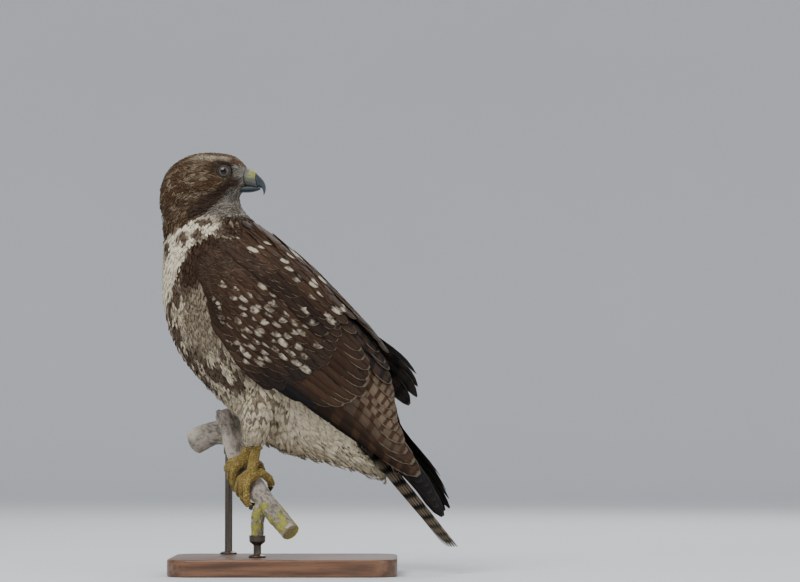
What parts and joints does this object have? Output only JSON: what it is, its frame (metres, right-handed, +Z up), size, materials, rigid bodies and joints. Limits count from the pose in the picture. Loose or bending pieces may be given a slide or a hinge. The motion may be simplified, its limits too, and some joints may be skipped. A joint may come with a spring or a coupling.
{
  "type": "red-tailed hawk, still life-size model",
  "caption": "Young red-tailed hawk perched with folded wings and its head turned over its back, on a cut branch held by a plain wooden stand.",
  "frame": {"origin": "centre of the stand base's underside", "axes": "+Z up; -X is where the breast faces, +X where the tail points; -Y is the bird's left side"},
  "size_m": [0.3131, 0.1854, 0.442],
  "materials": {
    "head_plumage": "soft matt feathers",
    "body_plumage": "soft matt feathers, cream with brown streaks",
    "wing_plumage": "matt to silky feathers with pale fringes",
    "tail_plumage": "silky feathers with dark bars",
    "bill_horn": "polished slate-black horn",
    "cere_skin": "waxy greenish-yellow skin",
    "eye": "wet, pale iris with a black pupil",
    "leg_scales": "scaled mustard-yellow skin",
    "claw_horn": "polished black horn",
    "bark": "weathered grey bark with lichen",
    "stand_wood": "satin varnished dark wood",
    "stand_metal": "satin dark steel"
  },
  "bodies": {
    "root": {"head": "head_plumage", "neck": "head_plumage", "torso": "body_plumage", "eye_left": "eye", "eye_right": "eye", "bill_upper": "bill_horn", "cere": "cere_skin", "bill_lower": "bill_horn", "tail": "tail_plumage", "wing_left": "wing_plumage", "wing_right": "wing_plumage", "thigh_left": "body_plumage", "tarsus_left": "leg_scales", "foot_left": "leg_scales", "claw_left_inner": "claw_horn", "claw_left_middle": "claw_horn", "claw_left_outer": "claw_horn", "claw_left_hind": "claw_horn", "thigh_right": "body_plumage", "tarsus_right": "leg_scales", "foot_right": "leg_scales", "claw_right_inner": "claw_horn", "claw_right_middle": "claw_horn", "claw_right_outer": "claw_horn", "claw_right_hind": "claw_horn", "perch_branch": "bark", "stand_base": "stand_wood", "stand_rod_front": "stand_metal", "stand_rod_back": "stand_metal"}
  },
  "joints": []
}
